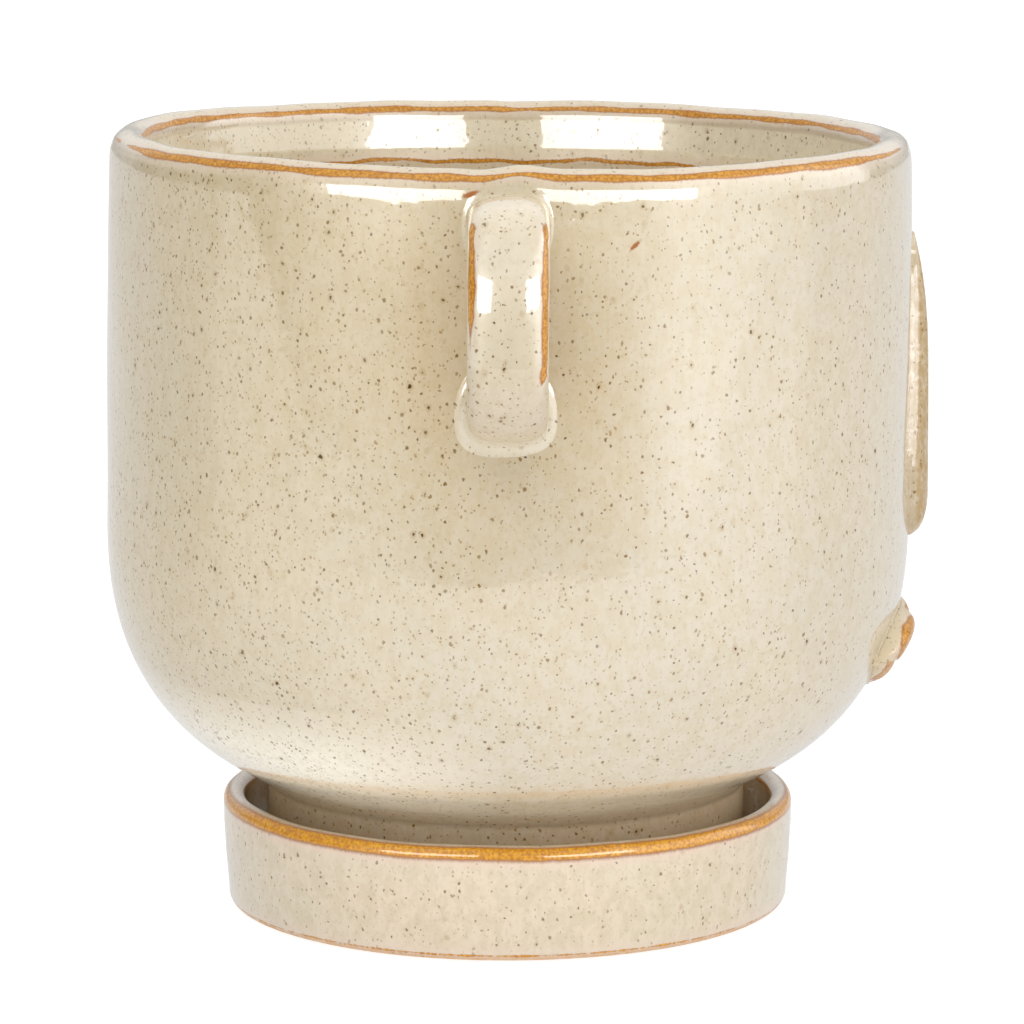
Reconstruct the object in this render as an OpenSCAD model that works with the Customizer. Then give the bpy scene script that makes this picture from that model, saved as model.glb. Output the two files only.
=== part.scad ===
// Face planter: a round stoneware pot with a relief nose, two lips and two
// strap ears, standing in its own saucer. Lengths are in millimetres, +Z is up,
// the face looks along -Y and the origin is under the middle of the saucer.

/* [Pot wall] */
// Outer diameter at the lip
mouth_d = 189; // [182:1:206]
// How much wider the wall is where it turns into the belly
belly_swell = 2; // [-4:0.5:8]
// Height of the pot by itself, from its foot to the top of its lip
pot_h = 177; // [170:1:200]
// Height above the foot at which the wall starts to turn in
belly_h = 84; // [74:1:94]
// Thickness of the wall from the belly down
wall_t = 8.5; // [7:0.5:10]
// Thickness of the rounded lip
lip_t = 8.8; // [7:0.2:10]
// Thickness of the wall at the bottom of the flared band inside the lip
band_t = 10.2; // [10.2:0.2:12]
// Depth of the flared band inside the lip
band_h = 14; // [8:1:24]
// How squarely the belly leaves the upright wall
belly_pull = 31.4; // [22:0.2:36]

/* [Pot foot] */
// Outer diameter of the foot
foot_d = 114.4; // [108:0.2:116]
// Height of the foot, up to where the belly springs from it
foot_h = 22.6; // [21:0.2:26]
// Slope of the belly where it meets the foot, from upright
foot_slope = 67.3; // [60:0.1:72]
// How far the belly keeps that slope
foot_pull = 27.9; // [20:0.1:32]
// Radius of the cove between the foot and the belly
foot_cove = 1.5; // [0.6:0.1:2.4]
// Width of the bare ring that the pot stands on
foot_ring = 9; // [6:0.5:12]
// Depth of the trimmed recess inside the foot ring
foot_recess = 2.5; // [1:0.5:4]
// Radius of the worn edge of the foot
foot_edge = 1.4; // [0.6:0.1:2]
// Thickness of the pot's floor
pot_floor = 7; // [5:0.5:10]
// Radius between the pot's floor and its inner wall
floor_cove = 5; // [3:0.5:8]
// Diameter of the drain hole
drain_d = 12; // [8:0.5:18]

/* [Ears] */
// Drop from the top of the lip to the upper face of the ear
ear_drop = 7.2; // [6.4:0.2:12]
// Height of the ear between its upper and lower outer faces
ear_h = 54; // [50:1:58]
// How far the outer face of the ear stands off the wall
ear_out = 26; // [23:0.5:34]
// Width of the strap
ear_w = 17.6; // [14:0.2:22]
// Thickness of the strap
ear_t = 11.5; // [9:0.5:12]
// Height of the widest point of the ear below its upper face
ear_bulge = 31; // [28:0.5:34]
// Radius of the smoothed clay along the sides of the ear's roots
root_side = 2.6; // [2:0.2:5]
// Radius of the smoothed clay above the upper root and below the lower one
root_out = 3.6; // [2:0.2:4]
// Radius of the smoothed clay inside the loop
root_in = 6; // [4:0.5:7]

/* [Nose] */
// Bare wall between the tip of the nose and the upper lip
philtrum = 16; // [6:0.5:20]
// Length of the nose
nose_len = 71.6; // [64:0.2:80]
// Width of the nose at its nostrils
nose_w = 24.4; // [18:0.4:36]
// Width of the nose at its bridge
bridge_w = 8; // [5:0.5:14]
// How far the nose stands off the wall
nose_out = 4.6; // [3:0.1:8]

/* [Lips] */
// Height of the line between the lips above the foot
mouth_h = 53.5; // [50:0.5:57]
// Width of the mouth
mouth_w = 59; // [44:1:64]
// Height of the upper lip
upper_h = 12; // [8:0.5:13]
// Height of the lower lip
lower_h = 8.2; // [6:0.2:11]
// How far the lips stand off the wall
lip_out = 5.8; // [3:0.1:8]
// Gap between the two lips
mouth_gap = 0.4; // [0.2:0.1:1]
// Height of the thin edge all round the nose and the lips
relief_edge = 0.8; // [0.4:0.1:1.4]

/* [Saucer] */
// Outer diameter of the saucer at its rim
saucer_d = 136.6; // [134:0.2:144]
// Outer diameter of the saucer just above its base
saucer_low_d = 134.4; // [130:0.2:138]
// Height of the saucer
saucer_h = 26.8; // [20:0.2:27]
// Thickness of the saucer's wall
saucer_wall = 5.3; // [4:0.1:5.6]
// Thickness of the saucer's floor
saucer_floor = 8; // [5:0.5:9]
// Radius under the saucer's outer wall
saucer_edge = 2.2; // [1:0.2:4]
// Width of the bare ring that the saucer stands on
saucer_ring = 8; // [5:0.5:12]
// Depth of the recess inside that ring
saucer_recess = 1.2; // [0.6:0.2:2.4]
// Radius between the saucer's floor and its inner wall
saucer_cove = 3.6; // [2:0.2:3.8]

/* [Fits] */
// Slip between the wall and each piece stuck on it
slip = 0.1; // [0.1:0.05:0.3]

/* [Hidden] */
$fn = 96;
glaze = [0.87, 0.82, 0.72];
mouth_r = mouth_d / 2;
belly_r = (mouth_d + belly_swell) / 2;
foot_r = foot_d / 2;
drain_r = drain_d / 2;
lip_r = lip_t / 2;
pot_z = saucer_floor;
floor_z = foot_recess + pot_floor;

// The belly's outline: a curve from the upright wall to the top of the foot
belly_steps = 16;
belly_p0 = [belly_r, belly_h];
belly_p3 = [foot_r, foot_h];
belly_p1 = belly_p0 - [0, belly_pull];
belly_p2 = belly_p3 + foot_pull * [sin(foot_slope), cos(foot_slope)];
function curve(t) = pow(1 - t, 3) * belly_p0 + 3 * pow(1 - t, 2) * t * belly_p1
    + 3 * (1 - t) * t * t * belly_p2 + pow(t, 3) * belly_p3;
function slope(t) = pow(1 - t, 2) * (belly_p1 - belly_p0)
    + 2 * (1 - t) * t * (belly_p2 - belly_p1) + t * t * (belly_p3 - belly_p2);
function inward(t) = let (d = slope(t)) [d[1], -d[0]] / norm(d);
function arc(c, r, from, to, n) = [for (i = [0:n]) let (a = from + (to - from) * i / n)
    c + r * [cos(a), sin(a)]];
belly_out = [for (i = [belly_steps:-1:0]) curve(i / belly_steps)];
belly_in = [for (i = [0:belly_steps]) let (t = i / belly_steps) curve(t) + wall_t * inward(t)];
belly_end = belly_in[belly_steps];
cavity_r = foot_r - wall_t;
cavity_z = belly_end[1] - (belly_end[0] - cavity_r) / tan(foot_slope);

// Outer radius of the wall at a height above the foot, as it is really built
wall_table = concat([for (p = belly_out) [p[1], p[0]]],
    [for (p = arc([mouth_r - lip_r, pot_h - lip_r], lip_r, 0, 60, 4)) [p[1], p[0]]]);
function wall_r(z) = lookup(z, wall_table);

pot_outline = concat(
    [[drain_r, foot_recess], [foot_r - foot_ring, foot_recess], [foot_r - foot_ring, 0.6]],
    [[foot_r - foot_ring + 0.6, 0]],
    arc([foot_r - foot_edge, foot_edge], foot_edge, -90, 0, 4),
    [[foot_r, foot_h - foot_cove], [foot_r + 0.3 * foot_cove, foot_h - 0.1 * foot_cove]],
    [for (i = [1:belly_steps]) belly_out[i]],
    arc([mouth_r - lip_r, pot_h - lip_r], lip_r, 0, 180, 12),
    [[mouth_r - lip_t - 0.62 * (band_t - lip_t), pot_h - lip_r - 0.45 * band_h]],
    [[mouth_r - band_t, pot_h - lip_r - band_h]],
    belly_in,
    [[cavity_r, cavity_z]],
    arc([cavity_r - floor_cove, floor_z + floor_cove], floor_cove, 0, -90, 6),
    [[drain_r, floor_z]]
);

module pot_body() {
    color(glaze) translate([0, 0, pot_z]) rotate_extrude() polygon(pot_outline);
}

// The ear's centre line: square-shouldered above its bulge, rounder below it
ear_mid = ear_out - ear_t / 2;
ear_top = pot_h - ear_drop - ear_t / 2;
ear_bottom = pot_h - ear_drop - ear_h + ear_t / 2;
ear_wide = pot_h - ear_drop - ear_bulge;
shoulder = 3.2;
lobe = 2.5;
function rise(u, n) = pow(1 - pow(u / ear_mid, n), 1 / n);
function over(a) = [ear_mid * pow(cos(a), 2 / shoulder),
    ear_wide + (ear_top - ear_wide) * pow(sin(a), 2 / shoulder)];
function under(a) = [ear_mid * pow(cos(a), 2 / lobe),
    ear_wide - (ear_wide - ear_bottom) * pow(sin(a), 2 / lobe)];
// Each root is drawn as rings lying at these distances from the wall
root_steps = [0, 0.7, 1.8, 3.2, 5, 6.8];
strap = concat([for (a = [74:-8:2]) over(a)], [[ear_mid, ear_wide]], [for (a = [9:9:63]) under(a)]);
ring_n = 24;
boxy = 3;
function signed(v, e) = sign(v) * pow(abs(v), e);
function swell(d, r) = d < r ? r - sqrt(r * r - (r - d) * (r - d)) : 0;
function root_ring(zc, d, up, down, size) = [for (i = [0:ring_n - 1]) let (
    a = 360 * i / ring_n,
    inner = (sin(a) > 0 ? up : down) == root_in ? abs(sin(a)) : 0,
    y = size * (ear_w / 2 + (1 - 0.6 * inner) * swell(d, root_side)) * signed(cos(a), 2 / boxy),
    v = ear_t / 2 + (sin(a) > 0 ? swell(d, up) : swell(d, down)),
    z = zc + size * v * signed(sin(a), 2 / boxy),
    r = wall_r(z) + slip)
    [sqrt(r * r - y * y) + d, y, z + pot_z]];
function strap_ring(k) = let (
    e = strap[min(k + 1, len(strap) - 1)] - strap[max(k - 1, 0)],
    n = [-e[1], e[0]] / norm(e),
    base = wall_r(strap[k][1]))
    [for (i = [0:ring_n - 1]) let (
        a = 360 * i / ring_n,
        y = ear_w / 2 * signed(cos(a), 2 / boxy),
        v = ear_t / 2 * signed(sin(a), 2 / boxy))
        [base + strap[k][0] + n[0] * v, y, strap[k][1] + n[1] * v + pot_z]];
function flip(ring) = [for (i = [0:ring_n - 1]) ring[(ring_n - i) % ring_n]];
last = len(root_steps) - 1;
cap_sizes = [0.3, 0.65];
ear_rings = concat(
    [for (s = cap_sizes) root_ring(ear_top, 0, root_out, root_in, s)],
    [for (d = root_steps) root_ring(ear_wide + (ear_top - ear_wide) * rise(d, shoulder), d,
        root_out, root_in, 1)],
    [for (k = [0:len(strap) - 1]) strap_ring(k)],
    [for (j = [last:-1:0]) let (d = root_steps[j])
        flip(root_ring(ear_wide - (ear_wide - ear_bottom) * rise(d, lobe), d,
            root_in, root_out, 1))],
    [for (s = [cap_sizes[1], cap_sizes[0]]) flip(root_ring(ear_bottom, 0, root_in, root_out, s))]
);
function on_wall(z) = [wall_r(z) + slip, 0, z + pot_z];
module ear_loop() {
    m = len(ear_rings);
    points = concat([on_wall(ear_top)], [for (r = ear_rings) for (p = r) p], [on_wall(ear_bottom)]);
    end = len(points) - 1;
    polyhedron(points, concat(
        [for (i = [0:ring_n - 1]) [0, 1 + (i + 1) % ring_n, 1 + i]],
        [for (k = [0:m - 2]) for (i = [0:ring_n - 1]) let (j = (i + 1) % ring_n, b = 1 + k * ring_n)
            [b + i, b + j, b + ring_n + j]],
        [for (k = [0:m - 2]) for (i = [0:ring_n - 1]) let (j = (i + 1) % ring_n, b = 1 + k * ring_n)
            [b + i, b + ring_n + j, b + ring_n + i]],
        [for (i = [0:ring_n - 1]) let (b = 1 + (m - 1) * ring_n) [end, b + i, b + (i + 1) % ring_n]]
    ));
}
module left_ear() {
    color(glaze) ear_loop();
}
module right_ear() {
    color(glaze) rotate([0, 0, 180]) ear_loop();
}

// A relief is a grid of heights laid on the wall: each cell holds the place
// along the wall, the height above the foot and the height off the wall
function wrap(x, z, h) = let (r = wall_r(z) + slip + h, a = x / wall_r(z) * 180 / PI)
    [r * sin(a), -r * cos(a), z + pot_z];
module relief(cells) {
    m = len(cells);
    n = len(cells[0]);
    front = [for (row = cells) for (c = row) wrap(c[0], c[1], c[2])];
    back = [for (row = cells) for (c = row) wrap(c[0], c[1], 0)];
    b = m * n;
    polyhedron(concat(front, back), concat(
        [for (j = [0:m - 2]) for (i = [0:n - 2]) let (q = j * n + i) [q, q + 1, q + n + 1]],
        [for (j = [0:m - 2]) for (i = [0:n - 2]) let (q = j * n + i) [q, q + n + 1, q + n]],
        [for (j = [0:m - 2]) for (i = [0:n - 2]) let (q = b + j * n + i) [q, q + n + 1, q + 1]],
        [for (j = [0:m - 2]) for (i = [0:n - 2]) let (q = b + j * n + i) [q, q + n, q + n + 1]],
        [for (i = [0:n - 2]) each [[i, b + i, b + i + 1], [i, b + i + 1, i + 1]]],
        [for (i = [0:n - 2]) let (q = (m - 1) * n + i)
            each [[q, q + 1, b + q + 1], [q, b + q + 1, b + q]]],
        [for (j = [0:m - 2]) let (q = j * n) each [[q, q + n, b + q + n], [q, b + q + n, b + q]]],
        [for (j = [0:m - 2]) let (q = j * n + n - 1)
            each [[q, b + q, b + q + n], [q, b + q + n, q + n]]]
    ));
}

// The nose runs from a narrow bridge down to a broad, rounded tip
nose_top = mouth_h + upper_h + philtrum + nose_len;
nose_rows = [0, 0.02, 0.06, 0.12, 0.2, 0.3, 0.42, 0.56, 0.7, 0.82, 0.88, 0.92, 0.95, 0.975, 0.99, 1];
nose_cols = [for (i = [-7:7]) sin(90 * i / 7)];
function nose_half(v) = (bridge_w / 2 + (nose_w - bridge_w) / 4 * (1 - cos(180 * min(1, v / 0.95))))
    * (1 - 0.42 * pow(max(0, (v - 0.86) / 0.14), 3)) * (0.7 + 0.3 * min(1, v / 0.06));
function nose_ridge(v) = v < 0.45 ? 1 - pow(1 - v / 0.45, 2.4)
    : v < 0.86 ? 1 : sqrt(1 - pow((v - 0.86) / 0.14, 2.2));
module nose() {
    color(glaze) relief([for (v = nose_rows) [for (s = nose_cols)
        [s * nose_half(v), nose_top - nose_len * v,
            relief_edge + (nose_out - relief_edge) * nose_ridge(v) * sqrt(1 - pow(abs(s), 3))]]]);
}

// The lips share the line of the mouth, which rises a little at its corners
lip_cols = [for (i = [-12:12]) sin(90 * i / 12)];
lip_rows = [0, 0.04, 0.12, 0.25, 0.42, 0.6, 0.76, 0.88, 0.96, 1];
lip_tip = 0.14;
function mouth_line(s) = mouth_h + 1.2 * s * s;
function bow(s) = 1.02 * pow(1 - pow(abs(s) * 0.999, 3.5), 0.58) * (1 - 0.16 * exp(-pow(s / 0.2, 2)));
function pout(s) = pow(1 - pow(abs(s) * 0.999, 2.6), 0.75);
function roll(v) = 1 - 0.22 * pow(1 - v, 18);
module upper_lip() {
    color(glaze) relief([for (v = [for (i = [len(lip_rows) - 1:-1:0]) lip_rows[i]]) [for (s = lip_cols)
        [s * mouth_w / 2, mouth_line(s) + mouth_gap / 2 + upper_h * max(lip_tip, bow(s)) * v,
            relief_edge + (lip_out - relief_edge) * (1 + 0.2 * s * s) * sqrt(1 - pow(abs(s) * 0.999, 8))
                * roll(v) * pow(1 - pow(v, 6), 1.1)]]]);
}
module lower_lip() {
    color(glaze) relief([for (v = lip_rows) [for (s = lip_cols)
        [s * mouth_w / 2, mouth_line(s) - mouth_gap / 2 - lower_h * max(lip_tip, pout(s)) * v,
            relief_edge + (lip_out - relief_edge) * (0.84 - 0.25 * v) * sqrt(1 - pow(abs(s) * 0.999, 5))
                * roll(v) * pow(1 - pow(v, 3), 0.8)]]]);
}

// The saucer: a shallow dish with a thick rounded rim
saucer_r = saucer_d / 2;
saucer_low_r = saucer_low_d / 2;
rim_r = saucer_wall / 2;
dish_r = saucer_low_r - saucer_wall + 0.6;
base_r = saucer_low_r - saucer_edge;
saucer_outline = concat(
    [[0, saucer_recess], [base_r - saucer_ring, saucer_recess], [base_r - saucer_ring, 0]],
    arc([base_r, saucer_edge], saucer_edge, -90, 0, 5),
    [[(saucer_low_r + 2 * saucer_r) / 3, saucer_h * 0.45], [saucer_r, saucer_h * 0.72]],
    arc([saucer_r - rim_r, saucer_h - rim_r], rim_r, 0, 180, 10),
    arc([dish_r - saucer_cove, saucer_floor + saucer_cove], saucer_cove, 0, -90, 5),
    [[0, saucer_floor]]
);
module saucer() {
    color(glaze) rotate_extrude() polygon(saucer_outline);
}

pot_body();
right_ear();
left_ear();
nose();
upper_lip();
lower_lip();
saucer();
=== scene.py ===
import bpy
import numpy as np
from math import inf, radians, tau
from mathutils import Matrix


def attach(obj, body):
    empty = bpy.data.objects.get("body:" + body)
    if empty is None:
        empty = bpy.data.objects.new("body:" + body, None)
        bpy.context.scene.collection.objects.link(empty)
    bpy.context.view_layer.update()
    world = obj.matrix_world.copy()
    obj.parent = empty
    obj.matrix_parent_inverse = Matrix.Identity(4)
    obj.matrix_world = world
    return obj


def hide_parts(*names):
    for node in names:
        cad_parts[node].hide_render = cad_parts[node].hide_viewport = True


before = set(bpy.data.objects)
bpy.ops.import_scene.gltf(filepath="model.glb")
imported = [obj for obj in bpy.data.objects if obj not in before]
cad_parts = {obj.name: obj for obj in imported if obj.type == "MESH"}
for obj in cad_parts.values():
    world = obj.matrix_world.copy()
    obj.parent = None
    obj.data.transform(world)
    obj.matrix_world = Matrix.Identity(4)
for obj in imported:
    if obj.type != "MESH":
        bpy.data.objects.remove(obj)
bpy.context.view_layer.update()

# Sizes of the pot in mm, the same as the model's
pot_z = 8.0
mouth_r = 94.5
belly_r = 95.5
belly_h = 84.0
pot_h = 177.0
wall_t = 8.5
lip_t = 8.8
band_h = 14.0
foot_r = 57.2
foot_h = 22.6
foot_ring = 9.0
foot_recess = 2.5
foot_slope = radians(67.3)
floor_z = 9.5
drain_r = 6.0
lip_r = lip_t / 2
lip_h = pot_h - lip_r
lip_c = [mouth_r - lip_r, lip_h]
bore_r = mouth_r - lip_t

# Sizes of an ear
ear_out = 26.0
ear_w = 17.6
ear_t = 11.5
ear_drop = 7.2
ear_h = 54.0
ear_bulge = 31.0
ear_mid = ear_out - ear_t / 2
ear_top = pot_h - ear_drop - ear_t / 2
ear_bottom = pot_h - ear_drop - ear_h + ear_t / 2
ear_wide = pot_h - ear_drop - ear_bulge

# Sizes of the face
mouth_h = 53.5
mouth_w = 59.0
mouth_gap = 0.06
upper_h = 12.0
lower_h = 8.2
lip_out = 5.8
nose_top = 153.1
nose_len = 71.6
nose_w = 24.4
bridge_w = 8.0
nose_out = 4.6
relief_edge = 0.8

# Sizes of the saucer
dish_r = 68.3
low_r = 67.2
dish_h = 26.8
dish_wall = 5.3
dish_floor = 8.0
dish_recess = 1.2
base_round = 2.2
base_ring = 8
well_round = 3.6

# Points round the pot and round an ear's strap
ring = 360
strap = 72


# Lines and arcs of an outline, as radius and height
def arc(c, r, start, end, n):
    a = np.radians(np.linspace(start, end, n))
    return np.stack([c[0] + r * np.cos(a), c[1] + r * np.sin(a)], 1)


def line(a, b, n):
    t = np.linspace(0, 1, n)[:, None]
    return np.array(a) * (1 - t) + np.array(b) * t


# The belly's outline is a cubic curve from the upright wall to the foot
def belly_curve(n, pull_top=31.4, pull_low=27.9):
    p = np.array([[belly_r, belly_h], [belly_r, belly_h - pull_top], [0, 0], [foot_r, foot_h]])
    p[2] = p[3] + pull_low * np.array([np.sin(foot_slope), np.cos(foot_slope)])
    t = np.linspace(0, 1, n)[:, None]
    u = 1 - t
    place = u**3 * p[0] + 3 * u**2 * t * p[1] + 3 * u * t * t * p[2] + t**3 * p[3]
    way = u**2 * (p[1] - p[0]) + 2 * u * t * (p[2] - p[1]) + t * t * (p[3] - p[2])
    inward = np.stack([way[:, 1], -way[:, 0]], 1) / np.linalg.norm(way, axis=1)[:, None]
    return place, inward


belly, belly_in = belly_curve(49)


# The wall's outer radius at a height over the foot
def wall_r(z):
    table = np.vstack([belly[::-1], [[mouth_r, lip_h]]])
    over = np.clip(z - lip_h, 0, lip_r)
    return np.interp(z, table[:, 1], table[:, 0]) - lip_r + np.sqrt(lip_r**2 - over**2)


# Distance in mm from the points of an outline to a line on a rounded rim
def to_rim(outline, middle, r, angle, side):
    way = np.array([side * np.cos(angle), np.sin(angle)])
    return np.linalg.norm(outline - (np.array(middle) + r * way), axis=1)


def gauss(x, width):
    return np.exp(-((x / width) ** 2))


def ramp(v, start, length):
    return np.clip((v - start) / length, 0, 1)


# Each wave has a height, a number round the pot, the mm of height over which it
# turns by a radian, and a phase
def waves(table, a, h=0.0):
    return sum(high * np.sin(count * a + h / rise + phase) for high, count, rise, phase in table)


wall_waves = ((0.16, 3, 40, 0.6), (0.1, 5, -23, 1.1), (0.07, 11, 13, 0), (0.05, 17, -9, 2))
lip_waves = ((0.1, 14, inf, 0.5), (0.025, 29, 5, 0))
rim_waves = ((0.14, 4, inf, 0.4), (0.12, 9, inf, 2), (0.07, 23, inf, 0))
edge_waves = ((0.3, 9, inf, 2), (0.25, 21, inf, 0), (0.12, 47, inf, 0))
amber_waves = ((0.1, 7, inf, 1), (0.1, 19, inf, 0), (0.08, 43, inf, 0))
dish_rim_waves = ((0.12, 4, inf, 2), (0.08, 13, inf, 0))
rim_low = 0.25
rim_tilt = 1.25
rim_sag = 0.75


# Uneven clay: slow waves round the wall, a lip that turns in, and a rim that is
# wavy, lifted over the right ear, low on that side and a little high on the other
def uneven(p):
    x, y, z = p.T
    h = z - pot_z
    r = np.hypot(x, y)
    a = np.arctan2(y, -x)
    wave = waves(wall_waves, a, h) + ramp(h, 150, 22) ** 2 * waves(lip_waves, a, h)
    turn_in = 0.036 * np.clip(h - 170, 0, 3.6) ** 2 + 0.01 * np.clip(h - 155, 0, 14)
    new_r = r + ramp(h, 24, 40) * wave * ramp(r, 0, 60) - turn_in * ramp(r, bore_r, lip_t)
    k = new_r / np.maximum(r, 1e-6)
    right = mouth_r * a
    left = mouth_r * np.arctan2(y, x)
    lift = 0.9 * gauss(right + 3, 5.5) - 0.4 * gauss(right - 7, 4) - 0.2 * gauss(left, 4)
    lift += waves(rim_waves, a) - rim_low
    tip = ramp(h, 157, 11.5)
    tip = tip * tip * (3 - 2 * tip) * np.clip(1.1 - (r - mouth_r) / 5, 0, 1)
    tip *= -rim_tilt * np.cos(a) - rim_sag * np.cos(a) ** 2
    return np.stack([x * k, y * k, z + ramp(h, 165, 10) * lift + tip], 1)


# The pot stands 0.6 mm off the saucer's axis and leans by half a degree
def lean(p, off=0.6, slant=0.0088):
    x, y, z = p.T
    h = z - pot_z
    return np.stack([x, y + off - slant * h, z + slant * y * h / pot_h], 1)


# Iron is the distance in mm to a line where the glaze breaks, breadth is half
# that line's width, and the colour given with its share as the fourth value holds
# stains in some places and painted light and shade in others
def mesh(name, body, points, faces, material, iron, breadth, stain_and_painted_light):
    data = bpy.data.meshes.new(name)
    data.from_pydata((points / 1000).tolist(), [], faces)
    for key, values in (("iron", iron), ("breadth", breadth)):
        layer = data.attributes.new(key, "FLOAT", "POINT")
        layer.data.foreach_set("value", np.asarray(values, np.float32))
    layer = data.attributes.new("stain_and_painted_light", "FLOAT_COLOR", "POINT")
    layer.data.foreach_set("color", np.asarray(stain_and_painted_light, np.float32).reshape(-1))
    data.shade_smooth()
    obj = bpy.data.objects.new(name, data)
    bpy.context.scene.collection.objects.link(obj)
    data.materials.append(material)
    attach(obj, body)
    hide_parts(name.removesuffix("_clay"))


def grid_faces(m, n, closed):
    faces = []
    for j in range(m - 1):
        for i in range(n if closed else n - 1):
            k = (i + 1) % n
            faces.append((j * n + i, j * n + k, (j + 1) * n + k, (j + 1) * n + i))
    return faces


def revolve(profile, n):
    a = np.arange(n) * tau / n
    r, z = profile[:, 0][:, None], profile[:, 1][:, None]
    p = np.stack([r * np.cos(a), r * np.sin(a), z + 0 * a], 2)
    return p.reshape(-1, 3), grid_faces(len(profile), n, True)


# Materials are built from small node helpers
class Graph:
    def __init__(self, tree):
        self.tree = tree
        tree.nodes.clear()

    def add(self, kind, inputs=None, **props):
        node = self.tree.nodes.new("ShaderNode" + kind)
        for key, value in props.items():
            setattr(node, key, value)
        for key, value in (inputs or {}).items():
            self.put(node.inputs[key], value)
        return node

    def put(self, socket, value):
        if isinstance(value, bpy.types.NodeSocket):
            self.tree.links.new(value, socket)
        else:
            socket.default_value = value

    def calc(self, operation, a, b=0.0, c=0.0, clamp=False):
        node = self.add("Math", operation=operation, use_clamp=clamp)
        for socket, value in zip(node.inputs, (a, b, c)):
            self.put(socket, value)
        return node.outputs[0]

    def vector(self, operation, a, b=(0.0, 0.0, 0.0), output="Vector"):
        return self.add("VectorMath", {0: a, 1: b}, operation=operation).outputs[output]

    def fade(self, value, start, end, low=0.0, high=1.0):
        inputs = {"Value": value, "From Min": start, "From Max": end}
        inputs |= {"To Min": low, "To Max": high}
        return self.add("MapRange", inputs, interpolation_type="SMOOTHSTEP").outputs[0]

    def mix(self, share, a, b, blend="MIX"):
        node = self.add("Mix", data_type="RGBA", blend_type=blend)
        self.put(node.inputs[0], share)
        self.put(node.inputs[6], a)
        self.put(node.inputs[7], b)
        return node.outputs[2]

    # A colour laid over another, by a share times a strength
    def lay(self, color, share, strength, over):
        return self.mix(self.calc("MULTIPLY", share, strength), color, over)

    def scaled(self, x, y, z):
        coords = self.add("TexCoord").outputs["Object"]
        return self.add("Mapping", {"Vector": coords, "Scale": (x, y, z)}).outputs[0]

    def noise(self, vector, scale, detail=2.0, rough=0.5, output="Fac"):
        inputs = {"Vector": vector, "Scale": scale, "Detail": detail, "Roughness": rough}
        return self.add("TexNoise", inputs).outputs[output]


# A colour in the values of a screen, as the linear one that the nodes take
def linear(r, g, b):
    c = np.array([r, g, b]) / 255
    c = np.where(c < 0.04045, c / 12.92, ((c + 0.055) / 1.055) ** 2.4)
    return (*c.tolist(), 1.0)


# Kinds of iron specks: mm across a cell, mm of the grain's radius, share of the
# cells that hold a grain
coarse_specks = (3.4, 0.37, 0.42)
coarse_bleed = (3.4, 0.85, 0.42)
fine_specks = (1.7, 0.37, 0.72)
dust_specks = (1.1, 0.27, 0.72)


# Specks: round cells of which only some hold a grain of iron. A grain has 0.5 to
# 1.2 times the radius of its kind and a soft edge, and covers 0.65 to 1 of the glaze
def specks(g, where, kind, many):
    size, radius, share = kind
    cells = g.add("TexVoronoi", {"Vector": where, "Scale": 1 / size, "Randomness": 1.0})
    pick = g.add("SeparateColor", {"Color": cells.outputs["Color"]}).outputs
    grain = g.calc("MULTIPLY_ADD", pick[0], radius / size * 0.7, radius / size * 0.5)
    spot = g.fade(g.calc("DIVIDE", cells.outputs["Distance"], grain), 1.15, 0.65)
    kept = g.calc("LESS_THAN", pick[1], g.calc("MULTIPLY", many, share))
    depth = g.calc("MULTIPLY_ADD", pick[2], 0.35, 0.65)
    return g.calc("MULTIPLY", g.calc("MULTIPLY", spot, kept), depth), pick[0]


# Slow drifts between a warm and a cool cream, fine runs down the wall, and clouds
def cream(g, mm, tall, base, warm, cool):
    drift = g.fade(g.noise(mm, 0.028, 3.0, 0.55), 0.34, 0.66)
    runs = g.fade(g.noise(g.scaled(900, 900, 70), 1.0, 3.0, 0.6), 0.3, 0.75)
    cloud = g.fade(g.noise(tall, 0.3, 3.0, 0.6), 0.4, 0.62)
    mottle = g.fade(g.noise(tall, 0.9, 4.0, 0.7), 0.5, 0.72)
    color = g.lay(g.mix(drift, cool, warm), runs, 0.3, base)
    color = g.lay(color, cloud, 0.32, linear(204, 184, 142))
    return g.lay(color, mottle, 0.4, linear(184, 162, 114))


# Grains of iron in three sizes, with a faint brown bleed round the coarse ones
def with_specks(g, color, mm, tall, many):
    bend = g.noise(mm, 0.9, output="Color")
    bend = g.vector("SUBTRACT", bend, (0.5, 0.5, 0.5))
    bend = g.vector("MULTIPLY", bend, (0.9, 0.9, 0.9))
    where = g.vector("ADD", tall, bend)
    coarse_place = g.vector("ADD", where, (31, 17, 5))
    fine_place = g.vector("ADD", where, (7, 3, 11))
    bleed, _ = specks(g, coarse_place, coarse_bleed, many)
    dust, _ = specks(g, where, dust_specks, many)
    fine, fine_tone = specks(g, fine_place, fine_specks, many)
    coarse, coarse_tone = specks(g, coarse_place, coarse_specks, many)
    fine_ink = g.mix(fine_tone, linear(78, 54, 2), linear(134, 98, 20))
    pale = g.calc("LESS_THAN", coarse_tone, 0.3)
    coarse_ink = g.mix(pale, linear(84, 54, 2), linear(120, 78, 8))
    color = g.lay(color, bleed, 0.32, linear(172, 132, 56))
    color = g.lay(color, dust, 0.75, linear(148, 108, 26))
    color = g.mix(fine, color, fine_ink)
    return g.mix(coarse, color, coarse_ink), coarse


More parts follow.
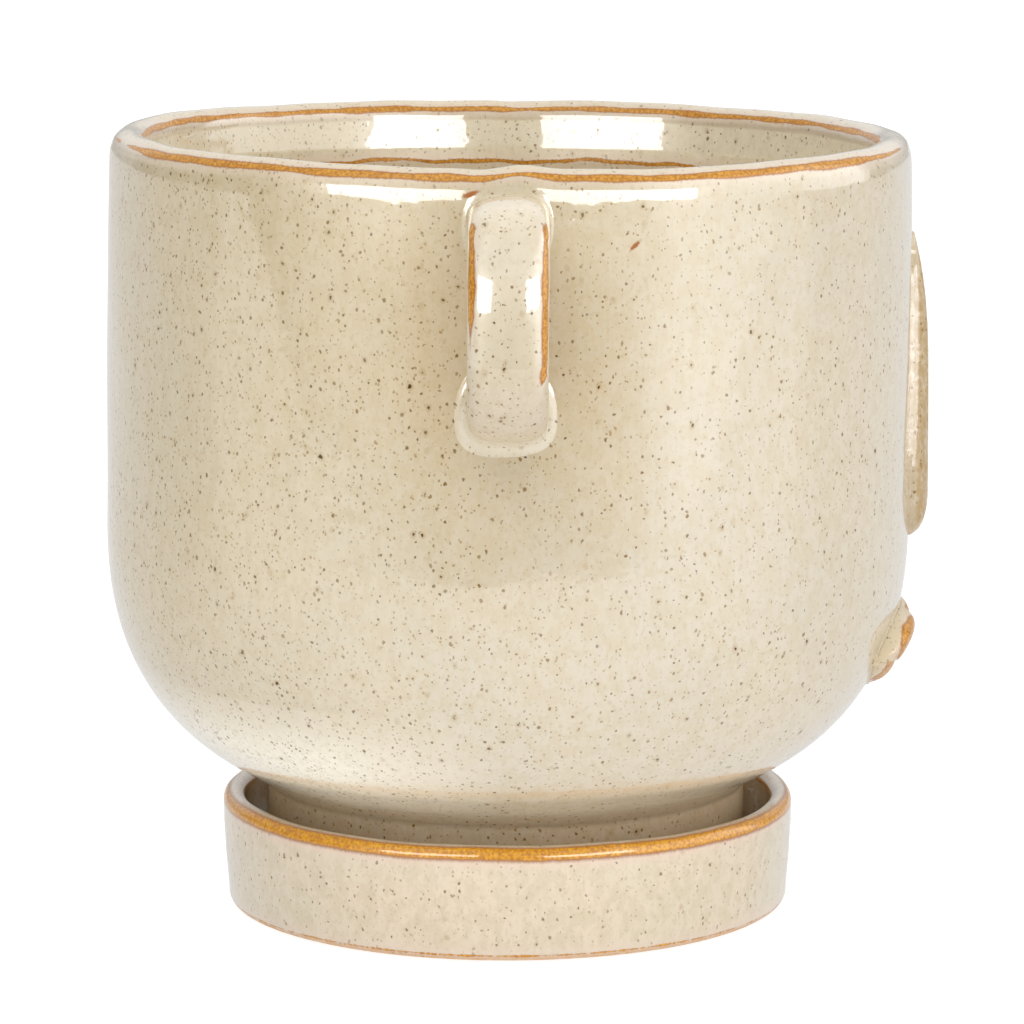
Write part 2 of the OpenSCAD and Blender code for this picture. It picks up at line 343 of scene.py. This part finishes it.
# One rust fleck: its place in mm, its way in y and z, and half its length and
# breadth in mm
def rust_fleck(g, mm, spot, way, long, thin):
    away = g.vector("SUBTRACT", mm, spot)
    along = g.vector("DOT_PRODUCT", away, (0.0, *way), "Value")
    across = g.vector("DOT_PRODUCT", away, (0.0, way[1], -way[0]), "Value")
    deep = g.vector("DOT_PRODUCT", away, (0.3, 0.0, 0.0), "Value")
    along = g.calc("DIVIDE", along, long)
    across = g.calc("DIVIDE", across, thin)
    flat = g.add("CombineXYZ", {0: along, 1: across, 2: deep}).outputs[0]
    far = g.vector("LENGTH", flat, output="Value")
    far = g.calc("MULTIPLY_ADD", g.noise(mm, 1.6, 3.0, 0.7), 1.1, far)
    return g.fade(far, 1.6, 1.0)


# Iron shows through where the glaze runs thin over an edge
def with_amber(g, color, mm, dark, light):
    iron = g.add("Attribute", attribute_name="iron").outputs["Fac"]
    breadth = g.add("Attribute", attribute_name="breadth").outputs["Fac"]
    fringe = g.noise(g.scaled(1000, 1000, 260), 1.3, 4.0, 0.7)
    reach = g.calc("MULTIPLY_ADD", fringe, 0.9, iron)
    reach = g.calc("MULTIPLY_ADD", g.noise(mm, 0.12), 0.5, reach)
    reach = g.calc("DIVIDE", g.calc("SUBTRACT", reach, 0.7), breadth)
    pale = g.fade(g.calc("MULTIPLY_ADD", fringe, 1.6, iron), 4.2, 1.2)
    rust = g.fade(reach, 1.45, 0.8)
    inner = g.fade(reach, 1.0, 0.6)
    amber = g.mix(g.fade(g.noise(mm, 1.3, 3.0, 0.6), 0.3, 0.7), dark, light)
    amber = g.mix(inner, linear(166, 100, 36), amber)
    color = g.lay(color, pale, 0.5, linear(234, 211, 191))
    return g.mix(rust, color, amber), rust


def glaze(name, base, warm, cool, back_rim_tint, iron_dark, iron_light, dulled, grains, flecks):
    material = bpy.data.materials.new(name)
    material.use_nodes = True
    g = Graph(material.node_tree)

    # Places in mm, and the same for what is drawn out a little upwards
    mm = g.scaled(1000, 1000, 1000)
    tall = g.scaled(1000, 1000, 840)
    color = cream(g, mm, tall, base, warm, cool)

    # Yellower and darker towards the back of the head and the rim
    _, to_back, up = g.add("SeparateXYZ", {0: mm}).outputs
    back_rim_share = g.fade(g.calc("ADD", to_back, up), 50, 190)
    color = g.mix(back_rim_share, color, g.mix(1.0, color, back_rim_tint, "MULTIPLY"))

    # Stains, painted light and painted shade from the mesh, which are matt where the colour is dark
    stain_and_painted_light = g.add("Attribute", attribute_name="stain_and_painted_light").outputs
    patchy = g.fade(g.noise(tall, 0.6, 4.0, 0.7), 0.3, 0.6, 0.6, 1.1)
    # Share of the mesh's stains and of its painted light and shade
    stain_and_light_share = g.calc("MULTIPLY", stain_and_painted_light["Alpha"], patchy, clamp=True)
    color = g.mix(stain_and_light_share, color, stain_and_painted_light["Color"])
    red = g.add("SeparateColor", {0: stain_and_painted_light["Color"]}).outputs[0]
    matt = g.calc("MULTIPLY", g.calc("LESS_THAN", red, 0.8), stain_and_light_share)

    # More specks at the back of the head than at the face
    many = g.fade(to_back, -60, 60, *grains)
    color, marks = with_specks(g, color, mm, tall, many)
    for fleck in flecks:
        mark = rust_fleck(g, mm, *fleck)
        color = g.lay(color, mark, 0.9, linear(164, 90, 14))
        marks = g.calc("MAXIMUM", marks, mark)
    color, rust = with_amber(g, color, mm, iron_dark, iron_light)

    # A light orange-peel surface, duller on iron and where a dark stain or painted shade lies
    ripple = g.noise(g.scaled(1000, 1000, 600), 0.55)
    height = g.calc("MULTIPLY_ADD", ripple, 0.2, g.noise(mm, 0.16))
    bump = g.add("Bump", {"Height": height, "Strength": 0.35, "Distance": 0.00022}).outputs[0]
    dull = g.calc("MAXIMUM", g.calc("MULTIPLY", rust, dulled), matt)
    dull = g.calc("MAXIMUM", dull, g.calc("MULTIPLY", marks, 0.8))
    shader = g.add("BsdfPrincipled", {
        "Base Color": color,
        "Normal": bump,
        "Roughness": 0.3,
        "IOR": 1.55,
        "Specular IOR Level": g.calc("MULTIPLY_ADD", dull, -0.5, 0.5),
        "Coat Weight": g.calc("SUBTRACT", 1.0, dull),
        "Coat Roughness": 0.035,
        "Coat IOR": 1.65,
        "Coat Normal": bump,
    })
    g.add("OutputMaterial", {0: shader.outputs[0]})
    return material


pot_glaze = glaze(
    "speckled_glaze",
    base=linear(224, 212, 191),
    warm=linear(219, 205, 180),
    cool=linear(214, 203, 181),
    back_rim_tint=(0.96, 0.92, 0.8, 1),
    iron_dark=linear(176, 112, 20),
    iron_light=linear(226, 164, 62),
    dulled=0.6,
    grains=(0.66, 1.25),
    flecks=[
        ((-90.8, -27.9, 166.3), (-0.7, 0.7), 2.1, 0.6),
        ((-94.0, 7.9, 177.7), (-0.94, 0.34), 2.3, 0.75),
    ],
)
dish_glaze = glaze(
    "saucer_glaze",
    base=linear(234, 220, 194),
    warm=linear(232, 212, 184),
    cool=linear(225, 211, 184),
    back_rim_tint=(1, 1, 1, 1),
    iron_dark=linear(190, 118, 0),
    iron_light=linear(244, 176, 6),
    dulled=0.4,
    grains=(0.36, 0.5),
    flecks=[],
)


# The pot's outline, in two parts: the underside and the wall up to the lip, and
# the lip, the band inside it, the inside and the drain hole
def pot_outline():
    ring_r = foot_r - foot_ring
    cavity_r = foot_r - wall_t
    inside = (belly + wall_t * belly_in)[1:]
    end_r, end_h = inside[-1]
    cavity_h = end_h - (end_r - cavity_r) / np.tan(foot_slope)
    outer = np.vstack([
        line([drain_r, foot_recess + 0.6], [drain_r + 0.6, foot_recess], 4),
        line([drain_r + 2, foot_recess], [ring_r, foot_recess], 12),
        line([ring_r, foot_recess - 0.1], [ring_r, 0.6], 3),
        line([ring_r + 0.6, 0], [foot_r - 2.2, 0], 5),
        arc([foot_r - 1.4, 1.4], 1.4, -90, 0, 7),
        line([foot_r, 3], [foot_r, foot_h - 3], 9),
        arc([foot_r + 2.0, foot_h - 2.4], 2.0, 180, 112, 7),
        belly[::-1][2:],
        line([belly_r - 0.01, belly_h + 2], [mouth_r, lip_h - 1], 52),
    ])
    inner = np.vstack([
        arc(lip_c, lip_r, 0, 180, 41),
        line([bore_r - 0.06, lip_h - 0.6], [bore_r - 0.94, lip_h - 7.2], 10),
        line([bore_r - 0.96, lip_h - 7.6], [bore_r - 1.1, lip_h - 10.4], 12),
        line([bore_r - 1.08, lip_h - 10.7], [bore_r - 0.7, lip_h - 12.9], 9),
        line([bore_r - 0.68, lip_h - band_h], [belly_r - wall_t, belly_h + 2], 34),
        [[belly_r - wall_t, belly_h]],
        inside,
        [[cavity_r, cavity_h]],
        arc([cavity_r - 5, floor_z + 5], 5, 0, -90, 9),
        line([cavity_r - 7, floor_z], [drain_r + 0.8, floor_z], 14),
        arc([drain_r + 0.6, floor_z - 0.6], 0.6, 90, 180, 5),
        outer[:1],
    ])
    return outer, inner


# Angles of the amber lines on the lip's round, depth of the one on the inside
# band's lower edge, and half their widths in mm
line_out, line_in, line_edge = 0.66, 0.6, 10.5
lip_half, edge_half, least_half = 0.68, 0.38, 0.05


# Amber runs along both sides of the lip and along the inside band's lower edge.
# Outside it is broadest on the right side but thin over the ear, and it is thin
# towards the face, the back and the left side
def pot_amber(profile, outside, z, a):
    lip_outside = to_rim(profile, lip_c, lip_r, line_out, 1)
    lip_inside = to_rim(profile, lip_c, lip_r, line_in, -1)
    lip_lines = np.repeat(np.minimum(np.minimum(lip_outside, lip_inside), 30), ring)
    edge_h = lip_h - line_edge + waves(edge_waves, a)
    edge_line = np.abs(z - edge_h) + 30 * outside
    over_ear = 0.55 * gauss(mouth_r * a - 1.5, 7)
    round_corner = 0.7 * np.clip(np.abs(a) - 1.0, 0, 0.3) / 0.3
    breadth = lip_half + waves(amber_waves, a) + outside * (0.24 - over_ear - round_corner)
    breadth = np.where(edge_line < lip_lines, edge_half, np.maximum(breadth, least_half))
    return np.minimum(lip_lines, edge_line), breadth


# Painted light makes the inside paler. Round each ear's roots the wall has a warm
# tint darkened with the ear's painted shade. Painted shade darkens the foot, and
# painted light makes the belly over it paler towards the back of the head
def pot_stain_and_light(outside, outer_side, x, y, z, a):
    beside_ear = np.minimum(np.abs(a), np.pi - np.abs(a)) * mouth_r
    # Warm tint round the ear's roots, with the ear's painted shade on the wall
    ear_tint_and_shade = 0.32 * gauss(np.maximum(beside_ear - 16, 0), 13) * gauss(z - 132, 38)
    # Painted light: the inside is paler, more towards the face's side
    inside_painted_light = (0.52 + 0.25 * np.sin(np.arctan2(-y, x))) * ramp(z, 120, 20) * (z < lip_h)
    # Painted shade darkens the foot
    foot_painted_shade = 0.34 * (z < foot_h + 1.5) * (np.hypot(x, y) > foot_r - 1)
    # Painted light makes the belly's underside paler towards the back of the head
    under_painted_light = ramp(y, 0, 40) * gauss(z - 36, 12) * (z > foot_h + 1.5)
    under = ~outside & outer_side
    stain_and_painted_light = np.zeros((len(z), 4))
    for where, share, color in (
        (outside, ear_tint_and_shade, linear(204, 178, 134)),
        (~outside & ~outer_side, inside_painted_light, linear(250, 240, 210)),
        (under, foot_painted_shade, linear(186, 152, 100)),
        (under & (under_painted_light > 0.01), under_painted_light, linear(255, 246, 224)),
    ):
        stain_and_painted_light[where, :3] = color[:3]
        stain_and_painted_light[where, 3] = share[where]
    return stain_and_painted_light


def make_pot():
    outer, inner = pot_outline()
    profile = np.vstack([outer, inner])
    points, faces = revolve(profile, ring)
    x, y, z = points.T
    a = np.arctan2(y, -x)
    outside = np.hypot(x, y) > lip_c[0]
    outer_side = np.arange(len(points)) < len(outer) * ring
    iron, breadth = pot_amber(profile, outside, z, a)
    stain_and_painted_light = pot_stain_and_light(outside, outer_side, x, y, z, a)
    points = lean(uneven(points + [0, 0, pot_z]))
    mesh("pot_body_clay", "pot", points, faces, pot_glaze, iron, breadth, stain_and_painted_light)


# Ears: rings along a strap whose two roots flare out onto the wall. The strap is
# a rounded line with a boxy section, and each root has radii above, below and
# beside it
shoulder, lobe, boxy = 3.2, 2.5, 3.0
root_above, root_below, root_in = 3.6, 3.4, 6.0
side_top, side_low = 1.2, 2.6
root_steps = [0, 0.03, 0.1, 0.22, 0.4, 0.65, 1.0, 1.5, 2.1, 2.8, 3.6, 4.5, 5.5, 6.5]


def power(v, e):
    return np.sign(v) * np.abs(v) ** e


def swell(d, r):
    return r - np.sqrt(r * r - (r - d) ** 2) if d < r else 0.0


around = np.arange(strap) * tau / strap
round_y = power(np.cos(around), 2 / boxy)
round_v = power(np.sin(around), 2 / boxy)
turned = (-np.arange(strap)) % strap


# A section of the strap at a distance from the wall
def root_ring(zc, d, up, down, side, grow=0.0):
    inner = np.where((round_v > 0) == (up == root_in), np.abs(np.sin(around)), 0)
    y = (ear_w / 2 + (1 - 0.7 * inner) * swell(max(d, 0), side) + grow) * round_y
    v = ear_t / 2 + grow + np.where(round_v > 0, swell(max(d, 0), up), swell(max(d, 0), down))
    z = zc + v * round_v
    r = wall_r(z) + d
    return np.stack([np.sqrt(r * r - y * y), y, z], 1)


def strap_line():
    a = np.radians(np.arange(76, 1, -3))
    b = np.radians(np.arange(3, 66, 3))
    rise, fall = ear_top - ear_wide, ear_wide - ear_bottom
    over = [ear_mid * np.cos(a) ** (2 / shoulder), ear_wide + rise * np.sin(a) ** (2 / shoulder)]
    under = [ear_mid * np.cos(b) ** (2 / lobe), ear_wide - fall * np.sin(b) ** (2 / lobe)]
    return np.vstack([np.stack(over, 1), [[ear_mid, ear_wide]], np.stack(under, 1)])


# The rings that are grown lie in the wall
def ear_rings():
    rings = []
    for grow in (1.2, 0.5):
        rings.append(root_ring(ear_top, -0.25 * grow, root_above, root_in, side_top, grow))
    for d in root_steps:
        rise = (ear_top - ear_wide) * (1 - (d / ear_mid) ** shoulder) ** (1 / shoulder)
        rings.append(root_ring(ear_wide + rise, d, root_above, root_in, side_top))
    mids = strap_line()
    go = np.gradient(mids, axis=0)
    go = np.stack([-go[:, 1], go[:, 0]], 1) / np.linalg.norm(go, axis=1)[:, None]
    base = wall_r(mids[:, 1])
    for k in range(len(mids)):
        x = base[k] + mids[k, 0] + go[k, 0] * ear_t / 2 * round_v
        z = mids[k, 1] + go[k, 1] * ear_t / 2 * round_v
        rings.append(np.stack([x, ear_w / 2 * round_y, z], 1))
    for d in root_steps[::-1]:
        fall = (ear_wide - ear_bottom) * (1 - (d / ear_mid) ** lobe) ** (1 / lobe)
        rings.append(root_ring(ear_wide - fall, d, root_in, root_below, side_low)[turned])
    for grow in (0.5, 1.2):
        root = root_ring(ear_bottom, -0.25 * grow, root_in, root_below, side_low, grow)
        rings.append(root[turned])
    return np.array(rings)


# The strap's two outer corners are where the glaze runs thin. Below its middle
# one line drifts towards the middle of the strap, and the other ends
def ear_amber(rings, share):
    front_corner, back_corner = 6, 30
    iron = []
    for k, row in enumerate(rings):
        drift = int(np.clip((share[k] - 0.54) / 0.02, 0, 3))
        front = np.linalg.norm(row - row[front_corner + drift], axis=1)
        back = np.linalg.norm(row - row[back_corner], axis=1) + 50 * max(0, share[k] - 0.5)
        iron.append(np.minimum(front, back))
    on = np.minimum(ramp(share, 0.2, 0.1), ramp(-share, -0.66, 0.08))
    iron = np.array(iron) + 5 * (1 - on)[:, None]
    wander = 1.05 + 0.2 * np.sin(share * 31) + 0.22 * np.sin(share * 67 + 1) * np.sin(share * 23)
    return iron.reshape(-1), np.repeat(np.maximum(wander, 0.3), strap)


# Painted light makes the strap's upper half and its lower root paler, and between them it is greyer: a
# mauve tint with painted shade
def ear_tint_and_light(share):
    # Painted light on the strap's upper half
    middle = ramp(share, 0.14, 0.1) * ramp(-share, -0.62, 0.2)
    # Greyer lower strap: a mauve tint with painted shade
    low = ramp(share, 0.5, 0.2) * ramp(-share, -0.84, 0.1)
    # Painted light on the lower root
    root = ramp(share, 0.82, 0.06) * ramp(-share, -1, 0.08)
    pale = (np.maximum(middle, root) > low)[:, None]
    color = np.where(pale, linear(244, 234, 214)[:3], linear(190, 172, 160)[:3])
    strength = np.maximum(np.maximum(low * 0.35, root * 0.3), middle * 0.45)
    return np.repeat(np.hstack([color, strength[:, None]]), strap, axis=0)


def make_ears():
    rings = ear_rings()
    m = len(rings)
    share = np.arange(m) / (m - 1)
    iron, breadth = ear_amber(rings, share)
    stain_and_painted_light = ear_tint_and_light(share)
    faces = grid_faces(m, strap, True)
    left = rings.reshape(-1, 3) + [0, 0, pot_z]
    right = left * [-1, -1, 1] + [0, 0.4, 0]
    for name, points in (("right_ear_clay", right), ("left_ear_clay", left)):
        points = lean(uneven(points))
        mesh(name, "pot", points, faces, pot_glaze, iron, breadth, stain_and_painted_light)


# Reliefs: grids of heights wrapped on the wall, with a skirt sunk into it
def skirted(u):
    return np.concatenate([[u[0], u[0], u[0]], u, [u[-1], u[-1], u[-1]]])


# The skirt's three rows drop into the wall and spread outwards a little
def skirt(n):
    drop, spread = np.zeros(n), np.zeros(n)
    drop[:3], drop[-3:] = [1.5, 1.0, 0.45], [0.45, 1.0, 1.5]
    spread[:3], spread[-3:] = [-0.45, -0.3, -0.12], [0.12, 0.3, 0.45]
    return drop, spread


# V runs from 0 to 1, down the nose or away from the mouth's line, and S runs
# from -1 to 1 across
def relief(name, v, s, place, flip=False):
    V, S = np.meshgrid(v, s, indexing="ij")
    (drop_v, spread_v), (drop_s, spread_s) = skirt(len(v)), skirt(len(s))
    x, z, h, iron, breadth, stain_and_painted_light = place(V, S)
    drop = np.maximum(drop_v[:, None], drop_s[None, :])
    h = np.where(drop > 0, relief_edge + 0.25 - drop, h)
    x = x + spread_s[None, :]
    z = z - spread_v[:, None] * (-1 if flip else 1)
    if flip:
        x, z, h, iron, breadth, stain_and_painted_light = [q[:, ::-1] for q in (x, z, h, iron, breadth, stain_and_painted_light)]
    r = wall_r(z) + h
    a = x / wall_r(z)
    points = np.stack([r * np.sin(a), -r * np.cos(a), z + pot_z], 2).reshape(-1, 3)
    points = lean(uneven(points))
    faces = grid_faces(len(v), len(s), False)
    iron, breadth = np.minimum(iron, 30).reshape(-1), breadth.reshape(-1)
    mesh(name, "pot", points, faces, pot_glaze, iron, breadth, stain_and_painted_light)


def stained(color, share):
    return np.concatenate([np.ones(share.shape + (3,)) * color[:3], share[..., None]], -1)


# The nose widens downwards from the bridge and rounds off at its tip, with amber
# along its lower edge
def nose(V, S):
    low = np.maximum(0, (V - 0.86) / 0.14)
    half = bridge_w / 2 + (nose_w - bridge_w) / 4 * (1 - np.cos(np.pi * np.minimum(1, V / 0.95)))
    half = half * (1 - 0.42 * low**3) * (0.7 + 0.3 * np.minimum(1, V / 0.06))
    ridge = np.where(V < 0.45, 1 - np.abs(1 - V / 0.45) ** 2.4, 1)
    tip = np.sqrt(np.maximum(0, 1 - low**2.2))
    full = ridge * tip * np.sqrt(np.maximum(0, 1 - np.abs(S) ** 3))
    h = relief_edge + (nose_out - relief_edge) * full
    iron = np.hypot((1 - V) * nose_len - 1.6, np.maximum(0, np.abs(S) * half - 7))
    breadth = 0.4 + 0.15 * np.sin(V * 43 + S * 5)
    stain_and_light_share = 0.55 + 0.35 * np.clip(full * 5 - 0.8, 0, 1)
    return S * half, nose_top - nose_len * V, h, iron, breadth, stained(linear(190, 164, 124), stain_and_light_share)


# The lips' edges thin out onto the wall. Amber shows where they are fullest, but
# not at their ends
def lips(upper, V, S):
    t = np.abs(S) * 0.999
    roll = 1 - 0.12 * (1 - V) ** 18 * np.clip((0.8 - t) / 0.3, 0, 1)
    middle = mouth_h + 1.2 * S * S
    if upper:
        bow = 1 - 0.16 * gauss(S, 0.2)
        high = upper_h * np.maximum(0.14, 1.02 * (1 - t**3.5) ** 0.58 * bow)
        z = middle + mouth_gap / 2 + high * V
        full = (0.76 + 0.32 * V + 0.2 * S * S) * np.sqrt(1 - t**8) * (1 - V**5) ** 2.5
        amber_from = 0.7
    else:
        high = lower_h * np.maximum(0.14, (1 - t**2.6) ** 0.75)
        z = middle - mouth_gap / 2 - high * V
        full = (0.57 + 0.2 * V) * np.sqrt(1 - t**5) * (1 - V**3) ** 0.8
        amber_from = 0.4
    h = relief_edge * np.clip((1 - V) / 0.2, 0.1, 1) + (lip_out - relief_edge) * full * roll
    iron = 6 * np.maximum(0, amber_from - full) + 7 * np.maximum(0, t - 0.76)
    iron = iron + 0.7 * gauss(V, 0.08)
    breadth = 1.2 + 0.3 * np.sin(S * 9 + 1) + 0.2 * np.sin(S * 23)
    return S * mouth_w / 2, z, h, iron, breadth, stained(linear(222, 204, 170), 0.8 + 0 * V)


# The rows of a relief are closer together towards its edges
def make_face():
    rows = np.sin(np.linspace(-1, 1, 91) * np.pi / 2)
    fine_rows = skirted(rows[::2] / 2 + 0.5)
    relief("nose_clay", skirted(rows / 2 + 0.5), skirted(rows[::2]), nose)
    relief("upper_lip_clay", fine_rows, skirted(rows), lambda V, S: lips(True, V, S), True)
    relief("lower_lip_clay", fine_rows, skirted(rows), lambda V, S: lips(False, V, S))


# Saucer: a dish with a thick rounded rim
rim_r = dish_wall / 2
rim_c = [dish_r - rim_r, dish_h - rim_r]
base_r = low_r - base_round
base_in = base_r - base_ring

# Angles of its amber lines on the rim's round, and half their widths in mm
dish_line_out, dish_line_in = 0.5, 0.3
dish_half_out, dish_half_in, dish_half_foot = 1.65, 0.4, 0.16


def dish_outline():
    well_r = low_r - dish_wall + 0.6
    flare_r = (low_r + 2 * dish_r) / 3
    return np.vstack([
        line([0.05, dish_recess], [base_in, dish_recess], 14),
        line([base_in, dish_recess - 0.1], [base_in, 0.3], 3),
        line([base_in + 0.3, 0], [base_r - 1, 0], 5),
        arc([base_r, base_round], base_round, -90, 0, 11),
        line([low_r + 0.04, 3.5], [flare_r, dish_h * 0.45], 9),
        line([flare_r + 0.02, dish_h * 0.48], [dish_r, dish_h * 0.72], 8),
        line([dish_r, dish_h * 0.75], [dish_r, dish_h - rim_r - 0.5], 7),
        arc(rim_c, rim_r, 0, 180, 31),
        line([dish_r - dish_wall - 0.01, dish_h - rim_r - 1], [well_r, dish_floor + 4.4], 12),
        arc([well_r - well_round, dish_floor + well_round], well_round, 0, -90, 9),
        line([well_r - 5, dish_floor], [0.05, dish_floor], 16),
    ])


# Slow waves round the wall, a wavy rim, and a slight rise towards the back of
# the head
def warped(points):
    x, y, z = points.T
    a = np.arctan2(y, -x)
    k = 1 + 0.0012 * np.sin(3 * a + 1) * ramp(z, 0, 20) + 0.0006 * np.sin(7 * a + z / 6)
    tilt = 0.0042 * y * k * z / 27
    return np.stack([x * k, y * k, z + ramp(z, 20, 6) * waves(dish_rim_waves, a) + tilt], 1)


# Amber runs on both sides of the rim, broad outside, with a pale band of thin
# glaze under it, and as a thin line at the edge of the bare foot
def make_saucer():
    dish = dish_outline()
    points, faces = revolve(dish, ring)
    band = to_rim(dish, rim_c, rim_r, dish_line_out, 1)
    inner = to_rim(dish, rim_c, rim_r, dish_line_in, -1)
    bare = np.linalg.norm(dish - np.array([base_r + 2.06, 1.45]), axis=1)
    iron = np.minimum(np.minimum(band, inner), bare)
    breadth = np.where(iron == inner, dish_half_in, dish_half_foot)
    breadth = np.where(iron == band, dish_half_out, breadth)
    clay = np.clip((1.5 - dish[:, 1]) / 0.3, 0, 1) * (dish[:, 0] > base_in - 0.1)
    halo = 0.5 * np.clip(1 - np.abs(band - 2.2) / 1.6, 0, 1) * (dish[:, 1] < rim_c[1])
    color = np.where(clay[:, None] > 0, linear(228, 178, 122)[:3], linear(242, 204, 186)[:3])
    stain_and_painted_light = np.hstack([color, np.maximum(clay, halo)[:, None]])
    iron, breadth, stain_and_painted_light = [np.repeat(q, ring, axis=0) for q in (np.minimum(iron, 30), breadth, stain_and_painted_light)]
    points = warped(points)
    mesh("saucer_clay", "saucer", points, faces, dish_glaze, iron, breadth, stain_and_painted_light)


# Floor: a white table that ends before it reaches the camera. It glows: evenly white
# to the camera, and for the object with a painted pool of light, so the object gets
# more light from it on the camera's side
def make_table(near=-0.62, far=9.0, side=6.0, z=-0.0004):
    bpy.ops.mesh.primitive_plane_add(size=1)
    table = bpy.context.object
    table.name = "table"
    table.data.transform(table.matrix_world)
    for v in table.data.vertices:
        v.co.x = far if v.co.x > 0 else near
        v.co.y = side if v.co.y > 0 else -side
        v.co.z = z
    white = bpy.data.materials.new("table_white")
    white.use_nodes = True
    g = Graph(white.node_tree)
    path = g.add("LightPath").outputs
    diffuse = g.add("BsdfDiffuse", {"Color": (0.8, 0.8, 0.8, 1)})
    ahead = g.add("SeparateXYZ", {0: g.add("TexCoord").outputs["Object"]}).outputs[0]
    # Painted pool of lamp light on the table, brighter towards the camera, for the object's light and
    # reflections
    painted_light_pool = g.fade(ahead, 0.05, -0.2, 0.66, 1.42)
    painted_light_pool = g.calc("MULTIPLY", painted_light_pool, g.calc("MULTIPLY_ADD", path["Is Glossy Ray"], 0.25, 1.0))
    level = g.add("Mix", {0: path["Is Camera Ray"], 2: painted_light_pool, 3: 1.4}).outputs[0]
    glow = g.add("Emission", {"Color": (1, 1, 1, 1), "Strength": level})
    show = g.add("MixShader", {0: 0.62, 1: diffuse.outputs[0], 2: glow.outputs[0]})
    g.add("OutputMaterial", {0: show.outputs[0]})
    table.data.materials.append(white)


# World: white to the camera. To the object it is a pale room, brighter behind, at
# the face's side, at the near left and above. The ways round fade over the cosine
# of the angle from the camera's axis
def make_world():
    world = bpy.data.worlds.new("studio")
    bpy.context.scene.world = world
    world.use_nodes = True
    g = Graph(world.node_tree)
    wx, wy, wz = g.add("SeparateXYZ", {0: g.add("TexCoord").outputs["Generated"]}).outputs
    flat = g.calc("SQRT", g.calc("ADD", g.calc("MULTIPLY", wx, wx), g.calc("MULTIPLY", wy, wy)))
    cosine = g.calc("DIVIDE", wx, flat)
    turn = g.calc("MULTIPLY", cosine, -1.0)
    path = g.add("LightPath").outputs
    glossy = path["Is Glossy Ray"]
    behind = g.fade(cosine, 0.68, 0.71)
    face_side = g.calc("MULTIPLY", g.fade(turn, 0.94, 0.6), g.fade(turn, -0.55, -0.45))
    face_side = g.calc("MULTIPLY", face_side, g.calc("LESS_THAN", wy, 0.0))
    face_side = g.calc("MULTIPLY", face_side, g.fade(wz, 0.75, 0.6))
    near_left = g.calc("MULTIPLY", g.fade(turn, 0.92, 0.84), g.fade(turn, 0.3, 0.55))
    near_left = g.calc("MULTIPLY", near_left, g.calc("GREATER_THAN", wy, 0.0))
    above = g.fade(wz, 0.5, 0.9)

    # Each part has a strength for diffuse rays and a change of it for glossy ones
    level = g.calc("MULTIPLY_ADD", glossy, g.fade(wz, 0.04, 0.3, -0.11, 0.3), 0.31)
    for part, strength, change in (
        (behind, 0.7, -0.4),
        (face_side, 0.6, 1.35),
        (near_left, 0.0, 0.6),
        (above, 0.8, -0.6),
    ):
        strength = g.calc("MULTIPLY_ADD", glossy, change, strength)
        level = g.calc("MULTIPLY_ADD", part, strength, level)
    room = g.add("Background", {"Color": (1, 1, 1, 1), "Strength": level})
    clear = g.add("Background", {"Color": (1, 1, 1, 1), "Strength": 1.0})
    seen = path["Is Camera Ray"]
    mixed = g.add("MixShader", {0: seen, 1: room.outputs[0], 2: clear.outputs[0]})
    g.add("OutputWorld", {0: mixed.outputs[0]})


# A lamp aimed at the pot's middle: its way round in degrees from the camera's side,
# its elevation in degrees, and its distance and size in m
def lamp(name, azimuth, elevation, distance, wide, high, power_w, aim_h=0.15):
    data = bpy.data.lights.new(name, "AREA")
    data.shape = "RECTANGLE"
    data.size = wide
    data.size_y = high
    data.energy = power_w
    obj = bpy.data.objects.new(name, data)
    bpy.context.scene.collection.objects.link(obj)
    a, e = radians(azimuth), radians(elevation)
    out = distance * np.cos(e)
    obj.location = (-out * np.cos(a), out * np.sin(a), aim_h + distance * np.sin(e))
    obj.rotation_euler = (radians(90) - e, 0, radians(-90) - a)
    obj.visible_camera = False
    return obj


# Lamps on the camera's side: on the left and on the right a soft one that lights
# the clay and a shiny one that its glaze mirrors, and a key from above
def make_lamps():
    for side, azimuth, wide in (("left", 31, 0.9), ("right", -33, 0.86)):
        soft = lamp("soft_" + side, azimuth, 11, 1.3, wide, 0.4, power_w=1.2)
        soft.visible_glossy = False
        shine = lamp("shine_" + side, azimuth, 11, 1.28, wide, 0.4, power_w=8.5)
        shine.visible_diffuse = False
    key = lamp("key", 0, 42, 1.5, 1.2, 0.8, power_w=5.7)
    key.visible_glossy = False


# Camera at the photograph's viewing angle, 9 degrees down onto the right ear
def make_camera():
    camera = bpy.data.cameras.new("camera")
    camera.lens = 162.71
    camera.sensor_width = 36
    view = bpy.data.objects.new("camera", camera)
    view.location = (-1.0922, -0.0011, 0.2674)
    view.rotation_euler = (radians(90 - 9.06), 0, radians(-90))
    bpy.context.scene.collection.objects.link(view)
    bpy.context.scene.camera = view
    bpy.context.scene.view_settings.view_transform = "Standard"


make_pot()
make_ears()
make_face()
make_saucer()
make_table()
make_world()
make_lamps()
make_camera()
